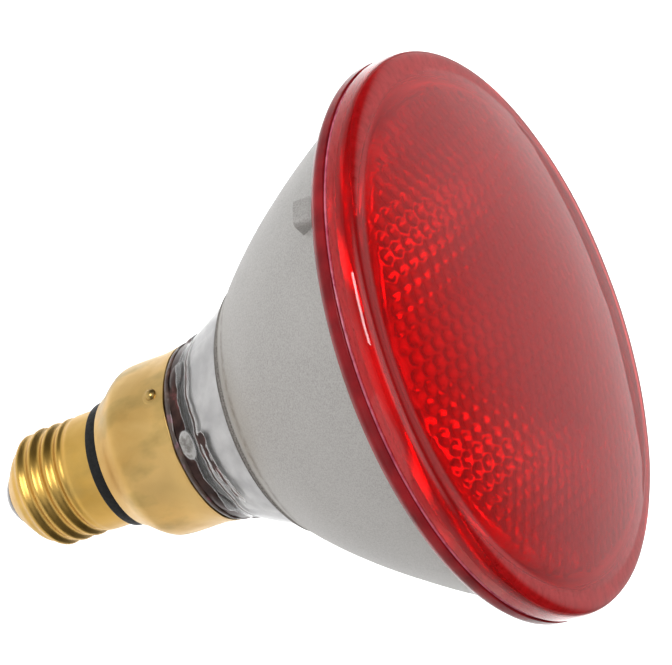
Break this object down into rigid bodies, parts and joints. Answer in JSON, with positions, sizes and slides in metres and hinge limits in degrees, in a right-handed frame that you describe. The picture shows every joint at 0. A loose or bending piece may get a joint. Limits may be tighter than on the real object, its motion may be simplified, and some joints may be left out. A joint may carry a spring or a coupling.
{
  "type": "infrared reflector heat lamp",
  "caption": "Sealed reflector heat lamp: domed red pressed-glass lens on a mirrored glass bowl, with a skirted brass screw cap that makes the electrical contacts.",
  "frame": {"origin": "tip of the centre contact's solder bead, on the lamp's axis, where it meets a lampholder's centre contact", "axes": "+Z along the lamp's axis from the screw cap towards the lens; X through the two filament posts"},
  "size_m": [0.1226, 0.1226, 0.135],
  "materials": {
    "lens": "red pressed glass, glossy outside, small lenslets inside",
    "rim_seal": "fused red-pink joint line",
    "reflector_glass": "finely grained pressed glass over a mirror film, clear and glossy at the neck",
    "mirror": "evaporated aluminium film",
    "clear_glass": "clear glass",
    "ferrule": "dull nickel-iron",
    "solder": "bright solder",
    "lead_wire": "drawn nickel wire",
    "clamp": "folded nickel plate",
    "tungsten": "dark grey drawn tungsten",
    "ceramic": "unglazed ceramic",
    "brass": "satin formed brass",
    "black_glass": "glossy black glass",
    "black_ring": "matte black moulding",
    "skirt_brass": "satin drawn brass",
    "cement": "dark brown cement",
    "sleeve": "woven glass-fibre sleeve"
  },
  "bodies": {
    "root": {"lens": "lens", "rim_seal": "rim_seal", "reflector_glass": "reflector_glass", "mirror_coating": "mirror", "exhaust_tip": "clear_glass", "ferrule_left": "ferrule", "ferrule_right": "ferrule", "braze_left": "solder", "braze_right": "solder", "lead_post_left": "lead_wire", "lead_post_right": "lead_wire", "filament_clamp_left": "clamp", "filament_clamp_right": "clamp", "filament_coil": "tungsten", "bridge_insulator": "ceramic", "filament_support": "lead_wire", "screw_shell": "brass", "base_insulator": "black_glass", "centre_contact": "brass", "contact_solder": "solder", "insulating_ring": "black_ring", "cap_skirt": "skirt_brass", "basing_cement": "cement", "contact_lead": "lead_wire", "shell_lead": "lead_wire", "lead_sleeve": "sleeve", "shell_solder": "solder"}
  },
  "joints": []
}
